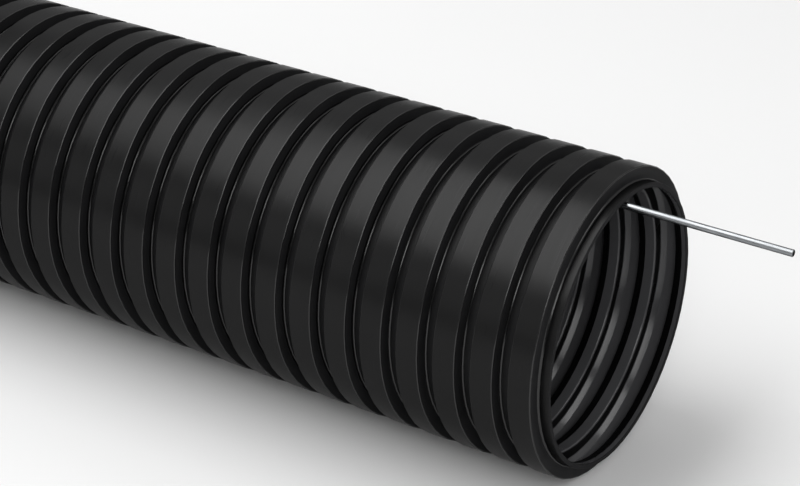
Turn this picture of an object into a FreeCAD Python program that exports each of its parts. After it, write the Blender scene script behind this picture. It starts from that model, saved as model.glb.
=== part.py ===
import FreeCAD, Part

import math
import os

# Corrugated conduit with its pull wire, a straight length that lies on its rings.
# Millimetres. X runs along the conduit towards the mouth, the end that the wire stands out of.
# Z is up, and the origin is on the floor, below the middle of the whole part.

# Rings of the corrugated wall, whose flanks stand square to the axis
outer_diameter = 63.0
ring_pitch = 8.15
crest_width = 4.9
groove_depth = 2.8

# Wall, which the moulding stretches thin over the crests and on the flanks
crest_wall = 0.6
flank_wall = 0.3
groove_wall = 1.0

# Length: it is cut across a groove, so that a short sleeve of the groove stays at each end
least_length = 1000.0
end_sleeve = 2.35

# Pull wire. Angles are round the conduit's axis: 0 is +Y and 90 is straight up
wire_diameter = 1.4
wire_gap = 0.2
wire_beyond_mouth = 33.8
mouth_angle = 92.0
rest_angle = 270.0
mouth_run = 60.0
bend_radius = 400.0
bend_angle = 15.0

# Worked out from the sizes above
crest_radius = outer_diameter / 2
groove_radius = crest_radius - groove_depth
groove_width = ring_pitch - crest_width
end_extra = 2 * end_sleeve - groove_width
ring_count = math.ceil((least_length - end_extra) / ring_pitch)
conduit_length = ring_count * ring_pitch + end_extra
wire_reach = groove_radius - groove_wall - wire_gap - wire_diameter / 2

rear_x = -(conduit_length + wire_beyond_mouth) / 2
mouth_x = rear_x + conduit_length
first_ring_x = rear_x + end_sleeve
axis_point = FreeCAD.Vector(0, 0, crest_radius)
along = FreeCAD.Vector(1, 0, 0)


def ring_outline(near_x, base_radius, top_radius, inset):
    """Four corners of one ring in the X-radius plane: foot, two crest corners, foot.

    The inset moves the flanks towards the middle of the ring, as the wall does inside it.
    """
    near = near_x + inset
    far = near_x + crest_width - inset
    return [(near, base_radius), (near, top_radius), (far, top_radius), (far, base_radius)]


def wave(base_radius, top_radius, inset):
    """Corners of one side of the wall from the rear end to the mouth."""
    corners = [(rear_x, base_radius)]
    for ring in range(ring_count):
        corners += ring_outline(first_ring_x + ring * ring_pitch, base_radius, top_radius, inset)
    corners.append((mouth_x, base_radius))
    return corners


def corrugated_tube():
    """The section of the waved wall, turned about the conduit's axis."""
    outside = wave(groove_radius, crest_radius, 0.0)
    inside = wave(groove_radius - groove_wall, crest_radius - crest_wall, flank_wall)
    corners = [FreeCAD.Vector(x, 0, crest_radius + r) for x, r in outside + inside[::-1]]
    section = Part.Face(Part.makePolygon(corners + corners[:1]))
    return section.revolve(axis_point, along, 360)


def beside_axis(x, angle):
    """Point on the wire's centre line where it lies on the wall at an angle round the axis."""
    turn = math.radians(angle)
    return FreeCAD.Vector(x, wire_reach * math.cos(turn), crest_radius + wire_reach * math.sin(turn))


def bend(before, corner, after):
    """Arc of the bend radius, tangent to the runs on both sides of a corner."""
    back = (before - corner).normalize()
    ahead = (after - corner).normalize()
    half_turn = (math.pi - back.getAngle(ahead)) / 2
    tangent = bend_radius * math.tan(half_turn)
    inward = (back + ahead).normalize()
    middle = corner + inward * (bend_radius / math.cos(half_turn) - bend_radius)
    return Part.Arc(corner + back * tangent, middle, corner + ahead * tangent)


def pull_wire():
    """Steel wire: it lies on the bottom of the bore, rises and leaves along the top of the mouth."""
    tip = beside_axis(mouth_x + wire_beyond_mouth, mouth_angle)
    top = beside_axis(mouth_x - mouth_run, mouth_angle)
    rise = (beside_axis(0, mouth_angle) - beside_axis(0, rest_angle)).Length
    foot = beside_axis(top.x - rise / math.tan(math.radians(bend_angle)), rest_angle)
    rear = beside_axis(rear_x, rest_angle)
    lower = bend(rear, foot, top)
    upper = bend(foot, top, tip)
    runs = [
        Part.LineSegment(rear, lower.StartPoint),
        lower,
        Part.LineSegment(lower.EndPoint, upper.StartPoint),
        upper,
        Part.LineSegment(upper.EndPoint, tip),
    ]
    route = Part.Wire([run.toShape() for run in runs])
    section = Part.Wire(Part.makeCircle(wire_diameter / 2, rear, along))
    return route.makePipeShell([section], True, False)


os.makedirs("parts", exist_ok=True)
pieces = {
    "corrugated_tube": corrugated_tube(),
    "pull_wire": pull_wire(),
}
for name, shape in pieces.items():
    shape.exportStep("parts/" + name + ".step")
    box = shape.optimalBoundingBox(False)
    print(name, "valid", shape.isValid(), "solids", len(shape.Solids), "faces", len(shape.Faces))
    print("  volume cm3", round(shape.Volume / 1000, 2))
    print("  low", round(box.XMin, 2), round(box.YMin, 2), round(box.ZMin, 2))
    print("  high", round(box.XMax, 2), round(box.YMax, 2), round(box.ZMax, 2))
gap = pieces["corrugated_tube"].distToShape(pieces["pull_wire"])[0]
print("rings", ring_count, "length", round(conduit_length, 2), "gap", round(gap, 3))
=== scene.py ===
import math

import bpy
import numpy as np
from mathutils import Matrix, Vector

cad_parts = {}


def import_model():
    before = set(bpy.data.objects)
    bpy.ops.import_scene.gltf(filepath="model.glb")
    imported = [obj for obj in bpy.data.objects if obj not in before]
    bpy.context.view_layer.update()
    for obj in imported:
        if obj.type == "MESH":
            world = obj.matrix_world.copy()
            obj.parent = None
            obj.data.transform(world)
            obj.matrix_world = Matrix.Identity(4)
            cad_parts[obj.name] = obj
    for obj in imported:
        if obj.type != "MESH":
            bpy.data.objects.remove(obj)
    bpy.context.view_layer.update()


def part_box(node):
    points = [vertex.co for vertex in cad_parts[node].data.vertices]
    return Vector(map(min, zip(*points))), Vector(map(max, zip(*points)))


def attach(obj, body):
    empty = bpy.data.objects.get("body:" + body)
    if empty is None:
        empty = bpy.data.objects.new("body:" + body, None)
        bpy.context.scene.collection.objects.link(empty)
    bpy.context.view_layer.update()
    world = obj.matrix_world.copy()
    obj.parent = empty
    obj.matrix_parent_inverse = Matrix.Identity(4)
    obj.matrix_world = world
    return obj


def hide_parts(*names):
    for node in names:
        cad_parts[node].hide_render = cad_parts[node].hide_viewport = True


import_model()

# Looks of the corrugated conduit and its pull wire, in metres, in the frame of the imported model.
# X runs along the conduit towards the mouth, Z is up. An angle round the axis is 0 at +Y, 90 on top.

tube_low, tube_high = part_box("corrugated_tube")
wire_low, wire_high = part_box("pull_wire")

mm = 0.001
rear_x = tube_low.x
mouth_x = tube_high.x
crest_radius = (tube_high.z - tube_low.z) / 2
axis_height = (tube_high.z + tube_low.z) / 2

# Section of the wall
ring_pitch = 8.15 * mm
crest_width = 4.9 * mm
groove_depth = 2.8 * mm
crest_wall = 0.6 * mm
flank_wall = 0.3 * mm
groove_wall = 1.0 * mm
end_sleeve = 2.35 * mm

# Radii of the round edges of one ring. Outside: rear foot, rear tip, front tip, front foot.
# Inside: rear foot, both ends of the bevel at the rear tip, front tip, both ends of the lip
outside_edges = (0.20 * mm, 0.20 * mm, 0.22 * mm, 0.50 * mm)
inside_edges = (0.40 * mm, 0.25 * mm, 0.25 * mm, 0.30 * mm, 0.15 * mm, 0.30 * mm)
rim_edges = (0.15 * mm, 0.20 * mm)   # outside, inside
inside_bevel = (1.05 * mm, 0.76 * mm)   # along, outwards
lip_length = 1.60 * mm
lip_drop = 0.30 * mm

# Fineness of the mesh. The rings near the ends have their round edges drawn in short steps,
# and all others in a plain number of steps, outside and inside
edge_step = 0.2 * mm
fine_rings = 5
plain_steps = (1, 0)
sides = 56

# Borders between the looks of the wall. A lean is the X part of the wall's normal,
# 0 on a crest and 1 on a face square to the axis
tip_depth = 0.30 * mm
foot_margin = 0.5 * mm
level_lean = 0.1
gentle_lean = 0.3
upright_lean = 0.8
rearward_lean = 0.12
square_lean = 0.97

# Pull wire
wire_diameter = 1.4 * mm
wire_gap = 0.2 * mm
mouth_angle = 92.0
rest_angle = 270.0
mouth_run = 60.0 * mm
bend_radius = 400.0 * mm
bend_angle = 15.0
wire_sides = 20
wire_step = 4.0 * mm
wire_edge = 0.12 * mm

# Patterns of the materials, in cells per metre along X, Y and Z, and heights of their relief
mould_streaks = (2600.0, 70.0, 70.0)
mould_grain = (5200.0, 5200.0, 5200.0)
mould_clouds = (55.0, 90.0, 90.0)
cloud_height = 0.05 * mm
saw_marks = (300.0, 500.0, 9000.0)
saw_mark_height = 0.02 * mm
saw_grain = (4000.0, 4000.0, 4000.0)
saw_grain_height = 0.01 * mm
drawn_streaks = (60.0, 5200.0, 5200.0)
drawn_streak_height = 0.006 * mm
zinc_bloom = (420.0, 900.0, 900.0)
zinc_bloom_height = 0.012 * mm
floor_mottle = (4.0, 4.0, 4.0)

# A noise keeps mostly between these values, and black plastic is a little bluish
noise_low = 0.3
noise_high = 0.7
blue_share = 1.05

# Camera at the photograph's viewing angle, in degrees below level and round the upright axis
camera_from_mouth = Vector((165.56 * mm, -338.25 * mm, 256.75 * mm))
camera_down = 28.930
camera_turn = 32.586
camera_lens = 102.065
sensor_width = 36.0
camera_near = 0.01
camera_far = 100.0

# Stage, and the world's light along each axis of its direction: from, to, and the strengths there
floor_size = 60.0
floor_tones = (0.77, 0.785)
floor_roughness = 0.9
world_ramps = {"X": (-0.3, -0.9, 0.0, 0.40), "Y": (0.1, 0.7, 0.0, 0.30), "Z": (0.0, 0.8, 0.06, 0.24)}

# Worked out from the sizes above
groove_radius = crest_radius - groove_depth
bore_radius = groove_radius - groove_wall
groove_width = ring_pitch - crest_width
conduit_length = mouth_x - rear_x
ring_count = round((conduit_length - 2 * end_sleeve + groove_width) / ring_pitch)
wire_reach = bore_radius - wire_gap - wire_diameter / 2


# Outline of the wall

def fine_steps(edge):
    """Number of short steps that a round edge is drawn with."""
    return math.ceil(edge / edge_step)


def ring_corners(ring, base_radius, top_radius, inset, edges, plain):
    """Corners of one ring from its rear foot to its front foot: x, radius, round edge, steps.

    Inside the rings near the ends, the rear tip is bevelled and the front foot slopes to a lip.
    """
    fine = min(ring, ring_count - 1 - ring) < fine_rings
    rear = rear_x + end_sleeve + ring * ring_pitch + inset
    front = rear + crest_width - 2 * inset
    places = [(rear, base_radius), (rear, top_radius), (front, top_radius), (front, base_radius)]
    if fine and inset > 0:
        places[1:2] = [(rear, top_radius - inside_bevel[1]), (rear + inside_bevel[0], top_radius)]
        places[-1:] = [(front, base_radius + lip_drop), (front + lip_length, base_radius)]
    return [
        (x, radius, edge, fine_steps(edge) if fine else plain)
        for (x, radius), edge in zip(places, edges)
    ]


def wave_corners(base_radius, top_radius, inset, edges, rim_edge, plain):
    """Corners of one side of the wall from the rear end to the mouth."""
    end_edge = (rim_edge, fine_steps(rim_edge))
    corners = [(rear_x, base_radius, *end_edge)]
    for ring in range(ring_count):
        corners += ring_corners(ring, base_radius, top_radius, inset, edges, plain)
    return corners + [(mouth_x, base_radius, *end_edge)]


def direction(start, end):
    """Unit vector from one corner to the next in the X-radius plane."""
    span = np.array(end[:2]) - np.array(start[:2])
    return span / np.linalg.norm(span)


def rounded_outline(corners):
    """Points of a closed outline with round corners, and the wall's normals on both sides of each.

    The outline runs clockwise with X to the right, so the wall's outward normal is on its left.
    """
    points, arriving, leaving = [], [], []
    for before, corner, after in zip(corners[-1:] + corners[:-1], corners, corners[1:] + corners[:1]):
        edge, steps = corner[2:]
        run_in = direction(before, corner)
        run_out = direction(corner, after)
        normal_in = np.array((-run_in[1], run_in[0]))
        normal_out = np.array((-run_out[1], run_out[0]))
        if steps == 0:
            points.append(np.array(corner[:2]))
            arriving.append(normal_in)
            leaving.append(normal_out)
            continue
        outward = 1 if run_in[1] * run_out[0] > run_in[0] * run_out[1] else -1
        shared = normal_in @ normal_out
        turn = math.acos(shared)
        centre = np.array(corner[:2]) - outward * edge * (normal_in + normal_out) / (1 + shared)
        for share in np.linspace(0, 1, steps + 1):
            normal = math.sin((1 - share) * turn) * normal_in + math.sin(share * turn) * normal_out
            normal /= math.sin(turn)
            points.append(centre + outward * edge * normal)
            arriving.append(normal)
            leaving.append(normal)
    return np.array(points), np.array(arriving), np.array(leaving)


# Meshes

def mesh_piece(name, points, faces, loop_normals, materials, face_materials=None):
    """Smooth mesh object whose shading follows the given normal at each corner of each face."""
    mesh = bpy.data.meshes.new(name)
    mesh.from_pydata(points.tolist(), [], faces)
    mesh.polygons.foreach_set("use_smooth", [True] * len(mesh.polygons))
    for material in materials:
        mesh.materials.append(material)
    if face_materials is not None:
        mesh.polygons.foreach_set("material_index", face_materials)
    mesh.normals_split_custom_set(loop_normals.tolist())
    mesh.update()
    piece = bpy.data.objects.new(name, mesh)
    bpy.context.scene.collection.objects.link(piece)
    return piece


def turned(along, outward, height=0.0):
    """Points or normals of an X-radius pair turned about the conduit's axis, one row for each pair."""
    turn = np.arange(sides) * 2 * math.pi / sides
    rows = np.empty((len(along), sides, 3))
    rows[:, :, 0] = along[:, None]
    rows[:, :, 1] = outward[:, None] * np.cos(turn)
    rows[:, :, 2] = outward[:, None] * np.sin(turn) + height
    return rows


def wall_looks(outline, arriving, leaving, names):
    """Place in the list of names of the look that each stretch of the wall's outline has."""
    middle = (outline + np.roll(outline, -1, axis=0)) / 2
    lean = (leaving[:, 0] + np.roll(arriving[:, 0], -1)) / 2
    steep = np.abs(lean)
    in_bore = np.arange(len(outline)) > np.argmax(outline[:, 0])
    from_end = np.minimum(middle[:, 0] - rear_x, mouth_x - middle[:, 0])
    below_tip = crest_radius - middle[:, 1]
    in_groove = (below_tip > tip_depth) & (from_end > end_sleeve - foot_margin)
    rules = {
        "cut_face": (from_end < max(rim_edges)) & (steep > gentle_lean),
        # faces in the bore that look away from the mouth or square at it take the dark copy, with
        # painted shade
        "bore_flank": in_bore & ((lean < -rearward_lean) | (lean > square_lean)),
        # hollows under the crests take an even lighter copy of the plastic, with painted light
        "recess": in_bore & (steep < gentle_lean) & (middle[:, 1] > groove_radius),
        # the rest of the bore takes the lighter copy of the plastic, with painted light
        "bore": in_bore,
        # groove floors take the lighter copy of the plastic, with painted light
        "groove": in_groove & (steep < level_lean),
        # flanks take the lighter copy of the plastic, with painted light
        "flank": in_groove & (steep > upright_lean),
        "edge": steep > level_lean,
    }
    places = [names.index(name) for name in rules]
    return np.select(list(rules.values()), places, names.index("outside"))


def corrugated_tube(skins):
    """The conduit's wall: its closed outline, turned about the axis. The skins are named materials."""
    outside = wave_corners(
        groove_radius, crest_radius, 0.0, outside_edges, rim_edges[0], plain_steps[0])
    inside = wave_corners(
        bore_radius, crest_radius - crest_wall, flank_wall, inside_edges, rim_edges[1], plain_steps[1])
    outline, arriving, leaving = rounded_outline(outside + inside[::-1])
    points = turned(outline[:, 0], outline[:, 1], axis_height).reshape(-1, 3)

    row = np.arange(len(outline))[:, None] * sides
    next_row = np.roll(row, -1, axis=0)
    side = np.arange(sides)[None, :]
    next_side = np.roll(side, -1, axis=1)
    faces = np.stack([row + side, row + next_side, next_row + next_side, next_row + side], -1)

    start = turned(leaving[:, 0], leaving[:, 1])
    end = np.roll(turned(arriving[:, 0], arriving[:, 1]), -1, axis=0)
    loop_normals = np.stack([start, np.roll(start, -1, axis=1), np.roll(end, -1, axis=1), end], 2)

    looks = np.repeat(wall_looks(outline, arriving, leaving, list(skins)), sides)
    return mesh_piece(
        "conduit_wall", points, faces.reshape(-1, 4).tolist(), loop_normals.reshape(-1, 3),
        skins.values(), looks.tolist())


# Route of the pull wire

def beside_axis(x, angle):
    """Point on the wire's centre line where it lies on the wall at an angle round the axis."""
    turn = math.radians(angle)
    return Vector((x, wire_reach * math.cos(turn), axis_height + wire_reach * math.sin(turn)))


def bend_points(before, corner, after):
    """Points of the arc of the bend radius, tangent to the runs on both sides of a corner."""
    back = (before - corner).normalized()
    ahead = (after - corner).normalized()
    half_turn = (math.pi - back.angle(ahead)) / 2
    centre = corner + (back + ahead).normalized() * (bend_radius / math.cos(half_turn))
    start = corner + back * bend_radius * math.tan(half_turn)
    steps = math.ceil(2 * half_turn * bend_radius / wire_step)
    axis = (start - centre).cross(ahead).normalized()
    turn = 2 * half_turn / steps
    arm = start - centre
    side = axis.cross(arm)
    return [centre + arm * math.cos(i * turn) + side * math.sin(i * turn) for i in range(steps + 1)]


def wire_route():
    """Centre line from the rear end to the tip: bottom of the bore, rise, top of the mouth."""
    tip = beside_axis(wire_high.x, mouth_angle)
    top = beside_axis(mouth_x - mouth_run, mouth_angle)
    rise = (beside_axis(0, mouth_angle) - beside_axis(0, rest_angle)).length
    foot = beside_axis(top.x - rise / math.tan(math.radians(bend_angle)), rest_angle)
    rear = beside_axis(wire_low.x, rest_angle)
    return [rear] + bend_points(rear, foot, top) + bend_points(foot, top, tip) + [tip]


def wire_stations(route):
    """Centre, direction and radius of each ring of the wire's mesh, with a small bevel at both ends."""
    radius = wire_diameter / 2
    stations = []
    for index, place in enumerate(route):
        before = route[max(index - 1, 0)]
        after = route[min(index + 1, len(route) - 1)]
        stations.append((place, (after - before).normalized(), radius))
    rear_place, rear_way, _ = stations[0]
    tip_place, tip_way, _ = stations[-1]
    stations[0] = (rear_place + rear_way * wire_edge, rear_way, radius)
    stations[-1] = (tip_place - tip_way * wire_edge, tip_way, radius)
    stations.insert(0, (rear_place, rear_way, radius - wire_edge))
    stations.append((tip_place, tip_way, radius - wire_edge))
    return stations


def pull_wire(material):
    """Steel wire swept along its route."""
    stations = wire_stations(wire_route())
    points, normals = [], []
    for place, way, radius in stations:
        level = Vector((0, 0, 1)).cross(way).normalized()
        upward = way.cross(level)
        for side in range(wire_sides):
            turn = 2 * math.pi * side / wire_sides
            out = level * math.cos(turn) + upward * math.sin(turn)
            points.append(place + out * radius)
            normals.append(out)

    faces, loop_normals = [], []
    last = (len(stations) - 1) * wire_sides
    for start in range(0, last, wire_sides):
        end = start + wire_sides
        for side in range(wire_sides):
            next_side = (side + 1) % wire_sides
            corners = (start + next_side, end + next_side, end + side, start + side)
            faces.append(corners)
            loop_normals += [normals[corner] for corner in corners]
    faces.append(tuple(range(wire_sides)))
    loop_normals += [-stations[0][1]] * wire_sides
    faces.append(tuple(range(last + wire_sides - 1, last - 1, -1)))
    loop_normals += [stations[-1][1]] * wire_sides
    return mesh_piece("steel_wire", np.array(points), faces, np.array(loop_normals), (material,))


# Materials

class Shading:
    """Node tree of one material, filled by short calls."""

    def __init__(self, name):
        self.material = bpy.data.materials.new(name)
        self.material.use_nodes = True
        self.tree = self.material.node_tree
        self.surface = self.tree.nodes["Principled BSDF"]
        self.place = self.add("ShaderNodeTexCoord").outputs["Object"]

    def add(self, kind):
        return self.tree.nodes.new(kind)

    def link(self, source, target):
        self.tree.links.new(source, target)

    def noise(self, scale, detail=2.0, roughness=0.5):
        """Noise whose scale is given along X, Y and Z, in cells per metre."""
        stretch = self.add("ShaderNodeMapping")
        stretch.inputs["Scale"].default_value = scale
        self.link(self.place, stretch.inputs["Vector"])
        noise = self.add("ShaderNodeTexNoise")
        noise.inputs["Scale"].default_value = 1.0
        noise.inputs["Detail"].default_value = detail
        noise.inputs["Roughness"].default_value = roughness
        self.link(stretch.outputs["Vector"], noise.inputs["Vector"])
        return noise.outputs["Fac"]

    def between(self, source, low, high):
        """A noise, spread over the range from low to high."""
        spread = self.add("ShaderNodeMapRange")
        self.link(source, spread.inputs["Value"])
        spread.inputs["From Min"].default_value = noise_low
        spread.inputs["From Max"].default_value = noise_high
        spread.inputs["To Min"].default_value = low
        spread.inputs["To Max"].default_value = high
        return spread.outputs["Result"]

    def colour(self, source, dark, light):
        """Base colour from dark to light, as a noise goes."""
        ramp = self.add("ShaderNodeValToRGB")
        ramp.color_ramp.elements[0].color = (*dark, 1)
        ramp.color_ramp.elements[1].color = (*light, 1)
        self.link(self.between(source, 0.0, 1.0), ramp.inputs["Fac"])
        self.link(ramp.outputs["Color"], self.surface.inputs["Base Color"])

    def bump(self, heights):
        """Bumps on top of each other; each is a source and its height in metres."""
        normal = None
        for source, height in heights:
            bump = self.add("ShaderNodeBump")
            bump.inputs["Strength"].default_value = 1.0
            bump.inputs["Distance"].default_value = height
            self.link(source, bump.inputs["Height"])
            if normal is not None:
                self.link(normal, bump.inputs["Normal"])
            normal = bump.outputs["Normal"]
        self.link(normal, self.surface.inputs["Normal"])


def plastic(name, tones, roughness, specular, facing, streak_height, grain_height):
    """Black moulded polyethylene: fine grain, and faint streaks round the conduit from the mould."""
    shade = Shading(name)
    streaks = shade.noise(mould_streaks, detail=3.0, roughness=0.6)
    grain = shade.noise(mould_grain)
    clouds = shade.noise(mould_clouds, detail=3.0)
    dark, light = [(tone, tone, tone * blue_share) for tone in tones]
    shade.colour(clouds, dark, light)
    shade.link(shade.between(streaks, *roughness), shade.surface.inputs["Roughness"])
    shade.surface.inputs["Specular IOR Level"].default_value = specular
    shade.surface.inputs["Specular Tint"].default_value = (facing, facing, facing, 1)
    shade.bump([(clouds, cloud_height), (streaks, streak_height), (grain, grain_height)])
    return shade.material


def cut_plastic():
    """The sawn end faces: matt, with fine marks across."""
    shade = Shading("conduit_cut_face")
    marks = shade.noise(saw_marks, detail=3.0, roughness=0.6)
    grain = shade.noise(saw_grain)
    shade.colour(grain, dark=(0.014, 0.014, 0.0145), light=(0.022, 0.022, 0.023))
    shade.link(shade.between(marks, low=0.55, high=0.75), shade.surface.inputs["Roughness"])
    shade.surface.inputs["Specular IOR Level"].default_value = 0.02
    shade.bump([(marks, saw_mark_height), (grain, saw_grain_height)])
    return shade.material


def steel():
    """Drawn galvanised wire: streaks lengthwise, and a faint bloom of zinc."""
    shade = Shading("wire_steel")
    streaks = shade.noise(drawn_streaks, detail=3.0, roughness=0.6)
    bloom = shade.noise(zinc_bloom, detail=3.0)
    shade.colour(bloom, dark=(0.23, 0.24, 0.25), light=(0.29, 0.30, 0.31))
    shade.link(shade.between(streaks, low=0.18, high=0.34), shade.surface.inputs["Roughness"])
    shade.surface.inputs["Metallic"].default_value = 1.0
    shade.surface.inputs["Specular Tint"].default_value = (0.02, 0.02, 0.02, 1)
    shade.bump([(bloom, zinc_bloom_height), (streaks, drawn_streak_height)])
    return shade.material


# Floor, light and camera

def floor():
    """Pale floor under the conduit."""
    shade = Shading("floor_paint")
    dark, light = [(tone, tone, tone) for tone in floor_tones]
    shade.colour(shade.noise(floor_mottle), dark, light)
    shade.surface.inputs["Roughness"].default_value = floor_roughness
    shade.surface.inputs["Specular IOR Level"].default_value = 0.0
    half = floor_size / 2
    corners = [(-half, -half, 0), (half, -half, 0), (half, half, 0), (-half, half, 0)]
    mesh = bpy.data.meshes.new("floor")
    mesh.from_pydata(corners, [], [(0, 1, 2, 3)])
    mesh.materials.append(shade.material)
    ground = bpy.data.objects.new("floor", mesh)
    bpy.context.scene.collection.objects.link(ground)


def world():
    """Soft light all round: stronger towards the top, the conduit's far end and the side behind it."""
    made = bpy.data.worlds.new("studio")
    bpy.context.scene.world = made
    made.use_nodes = True
    nodes = made.node_tree.nodes
    links = made.node_tree.links
    background = nodes["Background"]
    background.inputs["Color"].default_value = (1, 1, 1, 1)
    way = nodes.new("ShaderNodeTexCoord")
    parts = nodes.new("ShaderNodeSeparateXYZ")
    links.new(way.outputs["Generated"], parts.inputs["Vector"])
    total = None
    for axis, ramp in world_ramps.items():
        spread = nodes.new("ShaderNodeMapRange")
        for name, value in zip(("From Min", "From Max", "To Min", "To Max"), ramp):
            spread.inputs[name].default_value = value
        links.new(parts.outputs[axis], spread.inputs["Value"])
        if total is None:
            total = spread.outputs["Result"]
            continue
        both = nodes.new("ShaderNodeMath")
        both.operation = "ADD"
        links.new(total, both.inputs[0])
        links.new(spread.outputs["Result"], both.inputs[1])
        total = both.outputs["Value"]
    links.new(total, background.inputs["Strength"])


def softbox(name, place, faces, width, height, radiance):
    """Rectangular lamp; place and the point it faces are measured from the middle of the mouth."""
    lamp = bpy.data.lights.new(name, "AREA")
    lamp.shape = "RECTANGLE"
    lamp.size = width
    lamp.size_y = height
    lamp.energy = radiance * math.pi * width * height
    box = bpy.data.objects.new(name, lamp)
    bpy.context.scene.collection.objects.link(box)
    box.location = Vector((mouth_x, 0, axis_height)) + Vector(place)
    box.rotation_mode = "QUATERNION"
    box.rotation_quaternion = (Vector(place) - Vector(faces)).to_track_quat("Z", "Y")
    box.visible_camera = False


def camera():
    """Camera in front of the mouth and above it."""
    made = bpy.data.cameras.new("camera")
    made.lens = camera_lens
    made.sensor_width = sensor_width
    made.sensor_fit = "HORIZONTAL"
    made.clip_start = camera_near
    made.clip_end = camera_far
    view = bpy.data.objects.new("camera", made)
    view.location = Vector((mouth_x, 0, 0)) + camera_from_mouth
    view.rotation_euler = (math.radians(90 - camera_down), 0, math.radians(camera_turn))
    bpy.context.scene.collection.objects.link(view)
    bpy.context.scene.camera = view


# Pieces. Each plastic has its name, darkest and lightest tone, least and greatest roughness,
# mirror level, the tint that multiplies it, and the heights of its streaks and its grain
tube_skins = {
    "outside": plastic(
        "conduit_outside", (0.0020, 0.0034), (0.27, 0.33), 0.02, 10.3, 0.006 * mm, 0.002 * mm),
    "edge": plastic(
        "conduit_edge", (0.0030, 0.0050), (0.14, 0.22), 0.04, 14.0, 0.004 * mm, 0.001 * mm),
    # Flanks: the same black plastic in a lighter tone than the outside skin, so the faces between the
    # rings carry painted light
    "flank": plastic(
        "conduit_flank_painted_light", (0.0130, 0.0185), (0.45, 0.60), 0.02, 4.0, 0.010 * mm, 0.002 * mm),
    # Groove floors: the same black plastic in a lighter tone than the outside skin, so the hollows
    # between the rings carry painted light where shade falls
    "groove": plastic(
        "conduit_groove_painted_light", (0.0085, 0.0125), (0.34, 0.46), 0.02, 7.5, 0.006 * mm, 0.002 * mm),
    # Bore: the same black plastic in a far lighter tone than the outside skin, so the inside of the
    # wall carries painted light
    "bore": plastic(
        "conduit_bore", (0.058, 0.070), (0.13, 0.20), 0.45, 1.0, 0.003 * mm, 0.0005 * mm),
    # Hollows under the crests, inside: lighter still than the bore, with painted light where the rings
    # shade them
    "recess": plastic(
        "conduit_recess_painted_light", (0.092, 0.108), (0.13, 0.20), 0.45, 1.0, 0.003 * mm, 0.0005 * mm),
    # Faces in the bore that look away from the mouth or square at it: far darker than the bore, so they
    # carry painted shade
    "bore_flank": plastic(
        "conduit_bore_flank_painted_shade", (0.0020, 0.0036), (0.24, 0.34), 0.06, 1.0, 0.006 * mm, 0.001 * mm),
    "cut_face": cut_plastic(),
}
tube = corrugated_tube(tube_skins)
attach(tube, "root")
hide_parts("corrugated_tube")

wire = pull_wire(steel())
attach(wire, "root")
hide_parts("pull_wire")

# Stage. Each lamp has its name, place, the point it faces, width, height and radiance
floor()
world()
softbox("overhead_near", (-0.45, -0.38, 1.0), (-0.45, -0.38, 0.0), 0.42, 1.56, 4.4)
softbox("overhead_far", (-0.80, -0.40, 1.0), (-0.80, -0.40, 0.0), 0.40, 1.02, 2.7)
softbox("rear", (-1.90, 0.10, 0.95), (-0.30, 0.0, 0.0), 1.0, 1.0, 1.3)
softbox("back", (-0.55, 1.0, 0.95), (0.0, 0.0, 0.0), 1.2, 0.9, 0.45)
softbox("side", (-0.70, -1.22, 0.44), (-0.35, 0.0, 0.0), 1.0, 0.60, 0.75)
softbox("front_left", (0.79, -0.40, 0.47), (0.0, 0.0, 0.0), 0.38, 0.62, 2.4)
softbox("front_right", (0.64, 0.26, 0.72), (0.0, 0.0, 0.0), 0.62, 0.34, 2.6)
softbox("fill", (0.42, -0.80, 0.62), (0.0, 0.0, 0.0), 0.4, 0.4, 5.0)
camera()

bpy.context.scene.view_settings.view_transform = "Standard"
